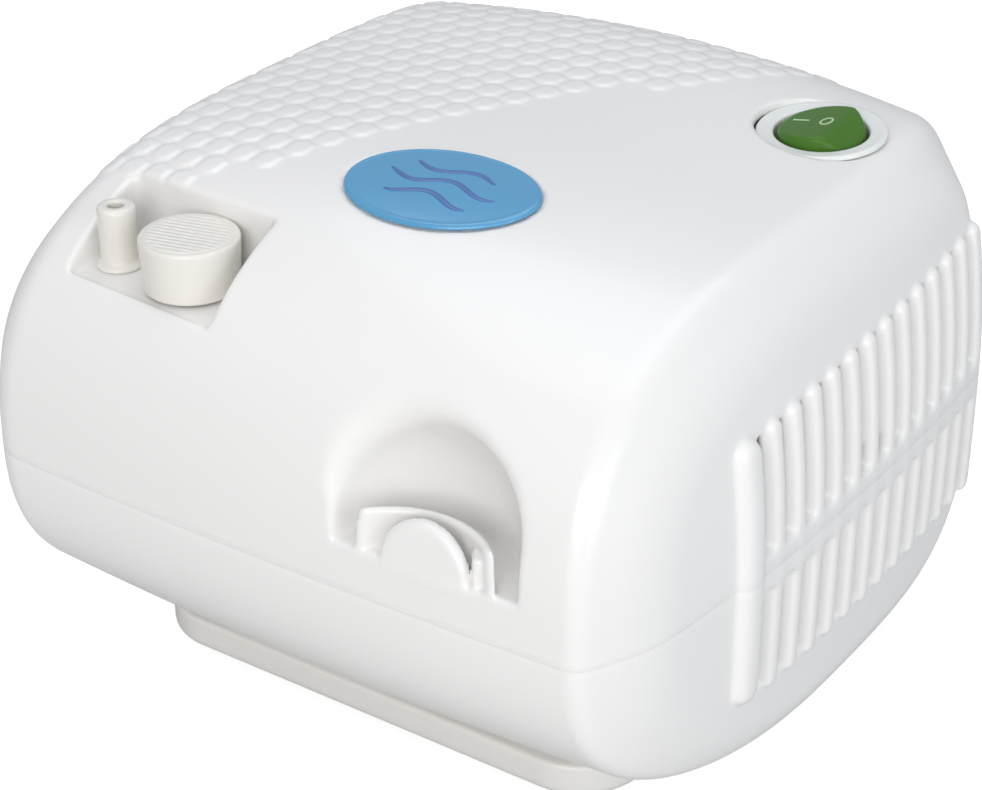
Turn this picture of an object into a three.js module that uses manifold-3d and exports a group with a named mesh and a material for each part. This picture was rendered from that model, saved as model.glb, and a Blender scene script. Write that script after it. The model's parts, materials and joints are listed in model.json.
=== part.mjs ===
// Compressor nebulizer: two-part softened casing on a recessed plinth, round rocker
// switch, air-outlet nozzle and filter cap in a corner pocket, cup-holder recess in the
// front, finned vents in both ends, and a shaded-pole motor with a wobble-piston pump.
// Millimetres, +Z up, +X to the right, front faces -Y. Origin: centre of the footprint,
// on the table. Inside the casing group z = 0 is the parting plane.
import * as THREE from "three";
import { mergeVertices } from "three/addons/utils/BufferGeometryUtils.js";
import Module from "manifold-3d";
const wasm = await Module();
wasm.setup();

// ---- driving dimensions -------------------------------------------------------
const PARTING_Z = 52; // height of the parting plane above the table
const HALF_W = 75, HALF_D = 75; // half width and half depth at the parting plane
// superellipse exponents of the wrap profile: the front rolls over softly, the rear is squarer
const WALL = 2.2;
const GAP = 0.3;
const POCKET = { x0: -50.8, x1: -15.8, y0: -65.5, y1: -43.5, floor: 35 };
const CAP = { x: -28.8, y: -54.4, r: 8.8, top: 45.6 };
const NOZZLE = { x: -45.7, y: -54.6, r: 3.2, top: 46.9 };
const SWITCH = { x: 47.4, y: 34.4, z: 51.0, r: 9, dish: 12.2, tiltX: 3, tiltY: 0 };
const HOLDER = { x: 35.25, y: -77, r: 18.65, floor: 9.1, spring: 17.9 };
const BADGE = { x: 5.9, y: -26.7, a: 19.2, b: 13.4 };
const FIN = { y0: -31.2, pitch: 6.5, n: 13, up: [3.6, 27], low: [-26, -4.5], slot: 3.1 };
const PLINTH = { a: 54, b: 48, bottom: -50, top: -37 };
const POST = { x: 61, y: 30, r: 4 };
const AXIS = { y: -4, z: -5 }; // motor shaft axis, along X
const THROW = 2.4; // crank pin offset
const PUMP_X = 35;

// ---- helpers -------------------------------------------------------------------
function solid(g) {
  let q = g.index ? g.toNonIndexed() : g.clone();
  for (const k of Object.keys(q.attributes)) if (k !== "position") q.deleteAttribute(k);
  const m = mergeVertices(q, 1e-4);
  return new wasm.Manifold(
    new wasm.Mesh({
      numProp: 3,
      vertProperties: new Float32Array(m.attributes.position.array),
      triVerts: new Uint32Array(m.index.array),
    }),
  );
}
function geo(s) {
  const m = s.getMesh();
  const p = new Float32Array(m.numVert * 3);
  for (let i = 0; i < m.numVert; i++)
    p.set(m.vertProperties.subarray(i * m.numProp, i * m.numProp + 3), i * 3);
  const g = new THREE.BufferGeometry();
  g.setAttribute("position", new THREE.BufferAttribute(p, 3));
  g.setIndex(new THREE.BufferAttribute(new Uint32Array(m.triVerts), 1));
  g.computeVertexNormals();
  return g;
}
const box = (x0, x1, y0, y1, z0, z1) =>
  solid(
    new THREE.BoxGeometry(x1 - x0, y1 - y0, z1 - z0).translate(
      (x0 + x1) / 2, (y0 + y1) / 2, (z0 + z1) / 2,
    ),
  );
// cylinder (or cone) along an axis between a and b, centred on the other two coordinates
function cyl(axis, r, a, b, u, v, seg = 20, r2 = r) {
  const g = new THREE.CylinderGeometry(r2, r, b - a, Math.max(8, Math.round(seg * 0.7))); // +Y is the b end
  const c = (a + b) / 2;
  if (axis === "z") g.rotateX(Math.PI / 2).translate(u, v, c);
  else if (axis === "x") g.rotateZ(-Math.PI / 2).translate(c, u, v);
  else g.translate(u, c, v);
  return solid(g);
}
const ring = (axis, r, ri, a, b, u, v, seg = 20) =>
  cyl(axis, r, a, b, u, v, seg).subtract(cyl(axis, ri, a - 1, b + 1, u, v, seg));
function prism(points, z0, z1) {
  const s = new THREE.Shape(points.map(([x, y]) => new THREE.Vector2(x, y)));
  const g = new THREE.ExtrudeGeometry(s, { depth: z1 - z0, bevelEnabled: false, steps: 1 });
  return solid(g.translate(0, 0, z0));
}
function roundRect(x0, x1, y0, y1, r, seg = 3) {
  const p = [];
  for (const [cx, cy, a] of [[x1 - r, y1 - r, 0], [x0 + r, y1 - r, 1], [x0 + r, y0 + r, 2], [x1 - r, y0 + r, 3]])
    for (let i = 0; i <= seg; i++) {
      const t = ((a + i / seg) * Math.PI) / 2;
      p.push([cx + r * Math.cos(t), cy + r * Math.sin(t)]);
    }
  return p;
}
// A hose in straight legs with mitred bends, open at both ends: every face is flat.
function hose(points, r, ri, seg = 8) {
  const p = points.map((v) => new THREE.Vector3(...v));
  const n = p.length - 1;
  const dir = (i) => p[i + 1].clone().sub(p[i]).normalize();
  const d0 = dir(0);
  const side = new THREE.Vector3(0, 0, 1).cross(d0).normalize();
  const up = d0.clone().cross(side);
  const start = (q) => Array.from({ length: seg }, (_, i) => {
    const t = (i / seg) * 2 * Math.PI;
    return p[0].clone().addScaledVector(side, q * Math.cos(t)).addScaledVector(up, q * Math.sin(t));
  });
  const rings = [start(r)], bore = [start(ri)];
  for (let i = 0; i < n; i++) {
    const d = dir(i);
    const m = i + 1 < n ? d.clone().add(dir(i + 1)).normalize() : d;
    const next = (ring) => ring.map((v) => v.clone().addScaledVector(d, p[i + 1].clone().sub(v).dot(m) / d.dot(m)));
    rings.push(next(rings[i]));
    bore.push(next(bore[i]));
  }
  const v = [], f = [];
  for (const ring of [...rings, ...bore]) for (const q of ring) v.push(q.x, q.y, q.z);
  const id = (set, k, i) => (set * (n + 1) + k) * seg + (i % seg);
  const quad = (a, b, c, d) => f.push(a, b, c, a, c, d);
  for (let k = 0; k < n; k++)
    for (let i = 0; i < seg; i++) {
      quad(id(0, k, i), id(0, k, i + 1), id(0, k + 1, i + 1), id(0, k + 1, i));
      quad(id(1, k, i + 1), id(1, k, i), id(1, k + 1, i), id(1, k + 1, i + 1));
    }
  for (let i = 0; i < seg; i++) {
    quad(id(1, 0, i), id(1, 0, i + 1), id(0, 0, i + 1), id(0, 0, i));
    quad(id(0, n, i), id(0, n, i + 1), id(1, n, i + 1), id(1, n, i));
  }
  return solid(new THREE.BufferGeometry().setAttribute("position", new THREE.Float32BufferAttribute(v, 3)).setIndex(f));
}
const move = (s, x, y, z) => s.translate([x, y, z]);

// ---- the softened casing form ----------------------------------------------------
// t is an inward offset: 0 is the outside, WALL the inside.
const sp = (c, e) => Math.sign(c) * Math.pow(Math.abs(c), e);
const FORM = {
  nuf: 2.783, nur: 6.31, nlf: 2.43, nlr: 4.5, up: 54.42, low: 44.53, rear: 73.1,
  yf: 0.019, yr: 0.064, zr: 0.084, zl: 0.081, zb: 0.043, ef: 3.84, er: 3.28, eu: 4.95, el: 1.02,
  band: [5.92, 3.18, 5.3, 14.99], inset: [9.44, 2.7, 13.74, 14.87], bandL: 8.82, insetL: 10.86,
};
function casingForm(t, N = 40, stations = 5) {
  const a = HALF_W - t, M = FORM;
  const profile = (th, inset) => {
    const c = -Math.cos(th), s = Math.sin(th);
    const up = s >= 0, front = c < 0;
    const n = up ? (front ? M.nuf : M.nur) : front ? M.nlf : M.nlr;
    const b = (front ? HALF_D : M.rear) - t - inset * 0.86, h = (up ? M.up : M.low) - t - inset * 0.93;
    return [b * sp(c, 2 / n), h * sp(s, 2 / n)];
  };
  const taper = (x, y, z) => [
    y * (1 - (y < 0 ? M.yf : M.yr) * (x / 63.4) ** 2),
    z * (1 - (z > 0 ? (x < 0 ? M.zl : M.zr) : M.zb) * (x / 64.5) ** 2),
  ];
  const endX = (y, z) =>
    a - (y < 0 ? M.ef : M.er) * Math.pow(Math.abs(y) / 64, 2.2) - (z > 0 ? M.eu : M.el) * (z / 43) ** 2;
  // the softened band where an end meets the sides: wide at the right end's rear, narrow at the left end
  const end = (sgn) => {
    const outer = [], inner = [];
    for (let i = 0; i < N; i++) {
      const th = (i / N) * 2 * Math.PI;
      const c = -Math.cos(th), s = Math.sin(th);
      const w = [Math.max(s, 0) ** 2, Math.max(-s, 0) ** 2, Math.max(-c, 0) ** 2, Math.max(c, 0) ** 2];
      const blend = (q) => w.reduce((sum, k, j) => sum + k * q[j], 0);
      const inset = sgn < 0 ? M.insetL : blend(M.inset);
      const band = (sgn < 0 ? M.bandL : blend(M.band)) - 0.4 * t;
      const [yi, zi] = profile(th, inset);
      let x = a - 2, y = yi, z = zi;
      for (let k = 0; k < 5; k++) {
        [y, z] = taper(sgn * (x - band), yi, zi);
        x = endX(y, z);
      }
      inner.push([sgn * x, y, z]);
      const [yo, zo] = profile(th, 0);
      outer.push([sgn * (x - band), yo, zo]);
    }
    return { outer, inner };
  };
  const L = end(-1), R = end(1);
  const rings = [];
  const flat = (sgn, from, k) => from.map(([x, y, z]) => [sgn * endX(y * k, z * k), y * k, z * k]);
  rings.push(flat(-1, L.inner, 0.5));
  rings.push(L.inner.map((p) => [...p]));
  for (let j = 0; j < stations; j++) {
    const k = -1 + (2 * j) / (stations - 1);
    rings.push((k < 0 ? L : R).outer.map(([x, y, z]) => [x * Math.abs(k), ...taper(x * Math.abs(k), y, z)]));
  }
  rings.push(R.inner.map((p) => [...p]));
  rings.push(flat(1, R.inner, 0.5));
  const v = [], f = [];
  rings.forEach((r) => r.forEach((p) => v.push(...p)));
  const id = (r, i) => r * N + ((i + N) % N);
  for (let r = 0; r < rings.length - 1; r++)
    for (let i = 0; i < N; i++) {
      f.push(id(r, i), id(r + 1, i), id(r + 1, i + 1));
      f.push(id(r, i), id(r + 1, i + 1), id(r, i + 1));
    }
  const c0 = v.length / 3;
  v.push(-endX(0, 0), 0, 0);
  const c1 = c0 + 1;
  v.push(endX(0, 0), 0, 0);
  for (let i = 0; i < N; i++) {
    f.push(c0, id(0, i), id(0, i + 1));
    f.push(c1, id(rings.length - 1, i + 1), id(rings.length - 1, i));
  }
  const g = new THREE.BufferGeometry();
  g.setAttribute("position", new THREE.BufferAttribute(new Float32Array(v), 3));
  g.setIndex(f);
  let s = solid(g);
  if (s.volume() < 0) {
    for (let i = 0; i < f.length; i += 3) [f[i + 1], f[i + 2]] = [f[i + 2], f[i + 1]];
    g.setIndex(f);
    s = solid(g);
  }
  return s;
}
const outside = casingForm(0);
const inside = casingForm(WALL, 28, 3);

// ---- group and materials -------------------------------------------------------------
const root = new THREE.Group();
const casing = new THREE.Group();
casing.position.set(0, 0, PARTING_Z);
root.add(casing);
const M = (color, roughness, metalness = 0) => ({ color, roughness, metalness });
const WHITE = M(0xdcdcda, 0.35), CREAM = M(0xcfc8b8, 0.4), GREEN = M(0x47802f, 0.3),
  BLUE = M(0x5fa8e6, 0.3), RUBBER = M(0x202224, 0.85), STEEL = M(0x9a9c9f, 0.35, 1),
  DARKSTEEL = M(0x5c5f63, 0.5, 1), COPPER = M(0xb46a32, 0.4, 1), BRASS = M(0xb8964a, 0.35, 1),
  ALU = M(0xb4b7ba, 0.4, 1), BLACK = M(0x1b1c1e, 0.5), FELT = M(0xe6e2d6, 0.95),
  HOSE = M(0xd8dcd8, 0.45), SEAL = M(0x7d5a34, 0.6), TAN = M(0xc9b58a, 0.7);
function add(name, s, m, parent = casing) {
  const mesh = new THREE.Mesh(geo(s), new THREE.MeshStandardMaterial(m));
  mesh.name = name;
  parent.add(mesh);
  return mesh;
}

// ---- cutters shared by the two casing halves ---------------------------------------------
const switchPlace = new THREE.Matrix4().compose(
  new THREE.Vector3(SWITCH.x, SWITCH.y, SWITCH.z),
  new THREE.Quaternion().setFromEuler(
    new THREE.Euler(THREE.MathUtils.degToRad(SWITCH.tiltX), THREE.MathUtils.degToRad(SWITCH.tiltY), 0),
  ),
  new THREE.Vector3(1, 1, 1),
);
function slots(list) {
  let s = null;
  for (const sgn of [-1, 1])
    for (let i = 0; i < FIN.n; i++) {
      const y = FIN.y0 + FIN.pitch * (i + 0.5);
      const rise = list === FIN.up ? 0.35 * i : 0;
      const b = box(sgn > 0 ? 64 : -80, sgn > 0 ? 80 : -64, y - FIN.slot / 2, y + FIN.slot / 2, list[0], list[1] + rise);
      s = s ? s.add(b) : b;
    }
  return s;
}

// ---- upper cover --------------------------------------------------------------------------
{
  const half = outside.intersect(box(-90, 90, -90, 90, 0, 90));
  let s = half.subtract(inside.intersect(box(-90, 90, -90, 90, -1, 90)));
  const inner = half.intersect(outside);
  // corner pocket
  const P = POCKET;
  s = s.add(box(P.x0 - 2, P.x1 + 2, P.y0 - 3, P.y1 + 2, P.floor - 2, 60).intersect(inner));
  s = s.subtract(prism([[P.x0, P.y0 + 2.8], [P.x1, P.y0], [P.x1, P.y1 - 2.8], [P.x0, P.y1]], P.floor, 70));
  s = s.subtract(cyl("z", 2.7, P.floor - 4, P.floor + 1, NOZZLE.x, NOZZLE.y, 14));
  s = s.subtract(cyl("z", 2.7, P.floor - 4, P.floor + 1, CAP.x, CAP.y, 14));
  // cup-holder recess, domed above the spring line, with its C-rib and round tongue
  const H = HOLDER;
  const dome = (r) =>
    solid(new THREE.SphereGeometry(r, 17, 10).rotateX(Math.PI / 2).translate(H.x, H.y, H.spring))
      .intersect(box(H.x - 30, H.x + 30, H.y - 30, H.y + 30, H.spring - 0.01, H.spring + 30))
      .add(cyl("z", r, r > H.r ? H.floor - 2 : H.floor, H.spring + 0.01, H.x, H.y, 24));
  s = s.add(dome(H.r + 2).intersect(inner));
  s = s.subtract(dome(H.r));
  const rib = ring("z", 17.6, 16.1, H.floor - 0.5, 16.6, 35.6, -84.5, 28).intersect(inner);
  s = s.add(rib.intersect(dome(H.r + 0.5)));
  const shellFront = outside.subtract(casingForm(2.2, 28, 3));
  s = s.add(
    cyl("y", 8.5, -85, -60, H.x, H.floor, 24)
      .intersect(box(20, 60, -85, -60, H.floor - 0.5, 40))
      .intersect(shellFront),
  );
  // switch opening and shallow dish
  s = s.subtract(cyl("z", SWITCH.r + 0.9, -20, 20, 0, 0, 32).add(cyl("z", SWITCH.dish + 0.2, -0.5, 20, 0, 0, 32)).transform(switchPlace.elements));
  s = s.subtract(slots(FIN.up));
  // screw posts
  for (const sx of [-1, 1])
    for (const sy of [-1, 1]) {
      const post = cyl("z", POST.r, 0.6, 50, sx * POST.x, sy * POST.y, 14).intersect(inner);
      s = s.add(post).subtract(cyl("z", 1.5, -1, 16, sx * POST.x, sy * POST.y, 10));
    }
  add("upper_cover", s, WHITE);
}

// ---- lower housing --------------------------------------------------------------------------
{
  const half = outside.intersect(box(-90, 90, -90, 90, -90, -GAP));
  let s = half.subtract(inside.intersect(box(-90, 90, -90, 90, -90, 1)));
  s = s.subtract(slots(FIN.low));
  for (const sx of [-1, 1])
    for (const sy of [-1, 1]) {
      s = s.add(cyl("z", POST.r, -42, -GAP, sx * POST.x, sy * POST.y, 14).intersect(half));
      s = s.subtract(cyl("z", 1.9, -60, 2, sx * POST.x, sy * POST.y, 10));
      s = s.subtract(cyl("z", 3.3, -60, -26, sx * POST.x, sy * POST.y, 12));
      // bosses that carry the chassis plate
      s = s.add(cyl("z", 4, -42, -35, sx * 26, AXIS.y + 14 + sy * 30, 12).intersect(half));
    }
  // opening for the mains inlet in the rear wall
  s = s.subtract(box(-12.3, 12.3, 60, 90, -22.3, -8));
  add("lower_housing", s, WHITE);
}

// ---- plinth, feet and casing screws --------------------------------------------------------------
{
  const P = PLINTH;
  const outline = (o) => roundRect(-P.a + o, P.a - o, -P.b + o, P.b - o, 14 - o, 6);
  const keep = casingForm(-GAP);
  let s = prism(outline(0), P.bottom, P.top).subtract(keep);
  s = s.subtract(prism(outline(2.4), P.bottom + 2.4, P.top + 5).subtract(
    box(-70, 70, -70, 70, P.bottom, P.bottom + 2.4)));
  for (const [i, [sx, sy]] of [[-1, -1], [1, -1], [1, 1], [-1, 1]].entries()) {
    const x = sx * 37, y = sy * 34;
    s = s.subtract(cyl("z", 5.4, P.bottom - 1, P.bottom + 1, x, y, 16));
    add("foot_" + (i + 1), cyl("z", 5, P.bottom - 2, P.bottom + 0.7, x, y, 16), RUBBER);
  }
  add("base_plinth", s, WHITE);
  for (const [i, [sx, sy]] of [[-1, -1], [1, -1], [1, 1], [-1, 1]].entries()) {
    const x = sx * POST.x, y = sy * POST.y;
    add("housing_screw_" + (i + 1),
      cyl("z", 3, -28.8, -26.3 + GAP - 0.3, x, y, 10).add(cyl("z", 1.2, -27, 12, x, y, 8))
        .subtract(box(x - 2, x + 2, y - 0.35, y + 0.35, -30, -27.9)), STEEL);
  }
}

// ---- badge ----------------------------------------------------------------------------------------
{
  const p = [];
  for (let i = 0; i < 32; i++) {
    const t = (i / 32) * 2 * Math.PI;
    p.push([BADGE.x + BADGE.a * Math.cos(t), BADGE.y + BADGE.b * Math.sin(t)]);
  }
  add("name_badge", prism(p, 30, 70).intersect(casingForm(-1.1)).subtract(casingForm(-GAP)).intersect(box(-30, 40, -60, 10, 40, 70)), BLUE);
}

// ---- switch: body with bezel, rocker, terminals -----------------------------------------------------
const PIVOT = -1.0;
const sw = new THREE.Group();
sw.position.set(SWITCH.x, SWITCH.y, SWITCH.z);
sw.rotation.set(THREE.MathUtils.degToRad(SWITCH.tiltX), THREE.MathUtils.degToRad(SWITCH.tiltY), 0);
casing.add(sw);
{
  let body = cyl("z", 9.5, -21, 0.5, 0, 0, 32).add(cyl("z", 12.0, -0.2, 0.9, 0, 0, 32));
  body = body.subtract(cyl("z", 8.75, -9.5, 3, 0, 0, 32));
  body = body.subtract(cyl("y", 1.05, -9.2, 9.2, 0, PIVOT, 10));
  body = body.subtract(box(-5.1, -3.6, -2.3, 2.3, -25, -16)).subtract(box(3.6, 5.1, -2.3, 2.3, -25, -16));
  add("switch_body", body, WHITE, sw);
  // rocker: domed two-slope actuator, pressed down on the -X side
  const prof = [
    [-8.1, -0.5], [-7.9, 0.55], [-7.2, 0.95], [-2.5, 1.85], [1.8, 2.65], [2.8, 2.75], [4.0, 2.3], [8.0, -0.2], [8.1, -2.0], [3, -4.2], [0, -4.6], [-3, -4.2], [-6.5, -3.0],
  ];
  const sh = new THREE.Shape(prof.map(([x, y]) => new THREE.Vector2(x, y)));
  let r = solid(new THREE.ExtrudeGeometry(sh, { depth: 18, bevelEnabled: false }).rotateX(Math.PI / 2).translate(0, 9, 0));
  r = r.intersect(cyl("z", 8.2, -9, 9, 0, 0, 32));
  r = r.add(cyl("y", 0.75, -9.0, 9.0, 0, PIVOT, 10));
  add("power_rocker", r, GREEN, sw);
  add("switch_terminal_1", box(-4.8, -3.9, -2, 2, -27, -16.4), BRASS, sw);
  add("switch_terminal_2", box(3.9, 4.8, -2, 2, -27, -16.4), BRASS, sw);
}

// ---- pocket fittings -----------------------------------------------------------------------------------
{
  const F = POCKET.floor;
  const nz = [[1.5, -9], [2.2, -9], [2.5, -1], [2.5, 0.3], [4.3, 0.3], [4.3, 1.3], [3.5, 2.2], [NOZZLE.r, NOZZLE.top - F - 1.2], [NOZZLE.r - 0.6, NOZZLE.top - F], [1.5, NOZZLE.top - F], [1.5, -9]]
    .map(([x, y]) => new THREE.Vector2(x, y));
  add("air_outlet_nozzle", solid(new THREE.LatheGeometry(nz, 12).rotateX(Math.PI / 2)).translate([NOZZLE.x, NOZZLE.y, F]), CREAM);
  const fs = [[1.3, -9], [2.2, -9], [2.5, -1], [2.5, 0.3], [7.1, 0.3], [7.1, 5], [6.2, 5], [6.2, 1.5], [1.3, 1.5], [1.3, -9]]
    .map(([x, y]) => new THREE.Vector2(x, y));
  add("filter_seat", solid(new THREE.LatheGeometry(fs, 12).rotateX(Math.PI / 2)).translate([CAP.x, CAP.y, F]), CREAM);
  add("filter_felt", cyl("z", 5.9, F + 1.9, F + 7.5, CAP.x, CAP.y, 18), FELT);
  const T = CAP.top - F;
  const cap = [[0, T - 2], [7.5, T - 2], [7.5, 0.4], [8.6, 0.4], [CAP.r, T - 1], [CAP.r - 0.9, T], [0, T]]
    .map(([x, y]) => new THREE.Vector2(x, y));
  let c = solid(new THREE.LatheGeometry(cap, 20).rotateX(Math.PI / 2));
  for (let i = -2; i <= 2; i++) c = c.subtract(box(-6, 6, i * 2.6 - 0.4, i * 2.6 + 0.4, T - 0.5, T + 2).intersect(cyl("z", 7.2, T - 1, T + 3, 0, 0, 16)));
  add("filter_cap", c.translate([CAP.x, CAP.y, F]), CREAM);
}

// ---- motor ------------------------------------------------------------------------------------------------
const AY = AXIS.y, AZ = AXIS.z;
const X = (s) => s.translate([0, AY, AZ]);
{
  let st = box(-12, 12, -20, 46, -22, 22).subtract(cyl("x", 14, -20, 20, 0, 0, 24));
  st = st.subtract(box(-20, 20, 20.5, 33.5, -14.6, 14.6));
  add("motor_stator", X(st), DARKSTEEL);
  const co = box(-23, 23, 21, 58, -14, 14).subtract(box(-12.4, 12.4, 33.1, 46.4, -20, 20));
  add("motor_coil", X(co), COPPER);
  add("thermal_fuse", X(cyl("x", 2, -6, 6, 50, 16.4, 10)), BLACK);
  add("motor_rotor", X(ring("x", 13.4, 3.3, -13, 13, 0, 0, 24)), STEEL);
  add("motor_shaft", X(cyl("x", 3, -50, 30.5, 0, 0, 14)), STEEL);
  const bushing = (a, b) => X(ring("x", 6, 3.3, a, b, 0, 0, 18));
  add("bearing_left", bushing(-24, -15), BRASS);
  add("bearing_right", bushing(15, 22), BRASS);
  const br = box(-18, -14.8, -8, 8, -20, 20).add(cyl("x", 8.6, -22, -14.8, 0, 0, 20)).subtract(cyl("x", 6.3, -30, -10, 0, 0, 18));
  add("bearing_bracket", X(br), ALU);
  let pf = box(14.8, 18, -19, 19, -21, 20).add(cyl("x", 8.6, 14.8, 21, 0, 0, 20)).subtract(cyl("x", 6.3, 10, 30, 0, 0, 18));
  pf = pf.add(box(14.8, 53, -19, 19, 17, 20.5)).subtract(cyl("z", 14.2, 10, 30, PUMP_X, 0, 24));
  pf = pf.add(box(14.8, 53, -19, -16.4, 8, 20)).add(box(14.8, 53, 16.4, 19, 8, 20));
  add("pump_frame", X(pf), ALU);
  let fan = cyl("x", 8, -46, -34, 0, 0, 18);
  for (let i = 0; i < 7; i++) {
    const blade = solid(new THREE.BoxGeometry(1.6, 8, 19.5).rotateZ(0.75).translate(-40, 0, 16.2).rotateX((i / 7) * 2 * Math.PI));
    fan = fan.add(blade);
  }
  fan = fan.subtract(cyl("x", 3.3, -60, -20, 0, 0, 14));
  add("cooling_fan", X(fan), BLACK);
}

// ---- pump ----------------------------------------------------------------------------------------------------
{
  // eccentric: hub on the shaft, offset pin, balance weight opposite the pin
  let ec = cyl("x", 7, 24, 30, 0, 0, 20).add(
    cyl("x", 13, 24, 28, 0, 0, 28).intersect(box(23, 29, -13, 13, -14, -2)));
  ec = ec.add(cyl("x", 3.5, 29, 39.5, 0, THROW, 16)).subtract(cyl("x", 3.3, 10, 30.9, 0, 0, 14));
  add("crank_eccentric", X(ec), STEEL);
  add("crank_bearing", X(ring("x", 8, 3.8, 31.6, 38.4, 0, THROW, 20)), STEEL);
  let rod = ring("x", 11, 8.3, 31.6, 38.4, 0, THROW, 24);
  rod = rod.add(box(PUMP_X - 2.4, PUMP_X + 2.4, -4, 4, THROW + 10, THROW + 29)).add(cyl("z", 9.5, THROW + 28, THROW + 31, PUMP_X, 0, 20));
  rod = rod.subtract(cyl("z", 1.5, THROW + 26, THROW + 40, PUMP_X, 0, 10));
  add("connecting_rod", X(rod), ALU);
  add("piston_cup_seal", X(ring("z", 10.9, 1.6, THROW + 31.3, THROW + 32.3, PUMP_X, 0, 24)), SEAL);
  add("cup_retainer", X(ring("z", 9, 1.6, THROW + 32.6, THROW + 34.4, PUMP_X, 0, 20)), ALU);
  add("retainer_screw", X(cyl("z", 1.2, THROW + 27, THROW + 36, PUMP_X, 0, 8).add(cyl("z", 2.6, THROW + 34.7, THROW + 36, PUMP_X, 0, 12))), STEEL);
  const z0 = 20.8, z1 = 41.2;
  let cy = cyl("z", 15.4, z0, z1, PUMP_X, 0, 28);
  cy = cy.add(box(PUMP_X - 15.6, PUMP_X + 15.6, -15.6, 15.6, z1 - 3, z1)).subtract(cyl("z", 13.5, z0 - 5, z1 + 5, PUMP_X, 0, 28));
  for (const sx of [-1, 1]) for (const sy of [-1, 1]) cy = cy.subtract(cyl("z", 1.35, z1 - 10, z1 + 5, PUMP_X + sx * 13.2, sy * 13.2, 8));
  add("pump_cylinder", X(cy), ALU);
  const plate = (a, b, hole) => {
    let s = prism(roundRect(PUMP_X - 15.6, PUMP_X + 15.6, -15.6, 15.6, 3), a, b);
    for (const sx of [-1, 1]) for (const sy of [-1, 1]) s = s.subtract(cyl("z", 1.35, a - 5, b + 5, PUMP_X + sx * 13.2, sy * 13.2, 8));
    return hole ? s.subtract(hole) : s;
  };
  const ports = cyl("z", 1.6, 30, 60, PUMP_X, -5, 8).add(cyl("z", 1.6, 30, 60, PUMP_X, 5, 8));
  add("valve_plate", X(plate(z1 + GAP, z1 + GAP + 1.5, ports)), STEEL);
  const zr = z1 + GAP + 1.5 + GAP;
  add("head_gasket", X(plate(zr, zr + 1.2, cyl("z", 11.4, 30, 60, PUMP_X, 0, 20))), RUBBER);
  add("intake_reed", X(box(PUMP_X - 9, PUMP_X + 3, -6.6, -3.4, z1 - 0.5, z1 + 0).intersect(cyl("z", 13, 0, 60, PUMP_X, 0, 20))), STEEL);
  add("exhaust_reed", X(box(PUMP_X - 7, PUMP_X + 3, 3.4, 6.6, zr, zr + 0.4)), STEEL);
  const zh = zr + 1.2 + GAP;
  let head = plate(zh, zh + 5.2).subtract(box(PUMP_X - 9, PUMP_X + 9, 1, 9, zh - 1, zh + 3)).subtract(box(PUMP_X - 9, PUMP_X + 9, -9, -1, zh - 1, zh + 3));
  head = head.add(cyl("x", 2.4, PUMP_X - 24, PUMP_X - 14, 5, zh + 2.6, 12)).add(cyl("x", 2.4, PUMP_X - 24, PUMP_X - 14, -5, zh + 2.6, 12));
  head = head.subtract(cyl("x", 1.2, PUMP_X - 30, PUMP_X - 5, 5, zh + 2.6, 8)).subtract(cyl("x", 1.2, PUMP_X - 30, PUMP_X - 5, -5, zh + 2.6, 8));
  add("cylinder_head", X(head), ALU);
  let k = 0;
  for (const sx of [-1, 1]) for (const sy of [-1, 1]) {
    const x = PUMP_X + sx * 13.2, y = sy * 13.2;
    add("head_screw_" + ++k, X(cyl("z", 1.05, z1 - 6, zh + 7, x, y, 8).add(cyl("z", 2.2, zh + 5.5, zh + 7, x, y, 10))), STEEL);
  }
  const hz = AZ + zh + 2.6;
  add("outlet_hose", hose([[PUMP_X - 24.9, AY + 5, hz], [2, AY + 6, hz], [-22, AY - 6, hz - 5], [-42, -34, 21], [NOZZLE.x, NOZZLE.y, 11], [NOZZLE.x, NOZZLE.y, 25]], 3.2, 2.0), HOSE);
  add("intake_hose", hose([[PUMP_X - 24.9, AY - 5, hz], [2, AY - 7, hz - 1], [-14, AY - 20, hz - 11], [-26, -40, 19], [CAP.x, CAP.y, 11], [CAP.x, CAP.y, 25]], 3.2, 2.0), HOSE);
}

// ---- chassis plate and rubber mounts -------------------------------------------------------------------------
{
  const zt = AZ - 22; // underside of the stator
  let s = prism(roundRect(-30, 30, AY - 20, AY + 48, 5), zt - 7.6, zt - 5.6);
  for (const sx of [-1, 1]) for (const sy of [-1, 1]) s = s.subtract(cyl("z", 1.8, -60, 0, sx * 26, AY + 14 + sy * 30, 10));
  add("chassis_plate", s, STEEL);
  let k = 0;
  for (const x of [-8, 8]) for (const y of [-14, 40])
    add("motor_mount_" + ++k, cyl("z", 4, zt - 5.3, zt - 0.3, x, AY + y, 12), RUBBER);
}

// ---- mains inlet and leads ---------------------------------------------------------------------------------------
{
  let s = box(-12, 12, 58, 75, -22, -8.3);
  s = s.subtract(box(-9.5, 9.5, 62, 90, -19.4, -10.8));
  s = s.subtract(box(-5.9, -3.1, 50, 70, -16.4, -13.6)).subtract(box(3.1, 5.9, 50, 70, -16.4, -13.6));
  add("mains_inlet", s, BLACK);
  add("mains_pin_1", cyl("y", 1.1, 56, 73, -4.5, -15, 10), BRASS);
  add("mains_pin_2", cyl("y", 1.1, 56, 73, 4.5, -15, 10), BRASS);
}

export default root;
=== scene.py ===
import json
import math

import bpy
import numpy as np
from mathutils import Matrix, Vector


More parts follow.
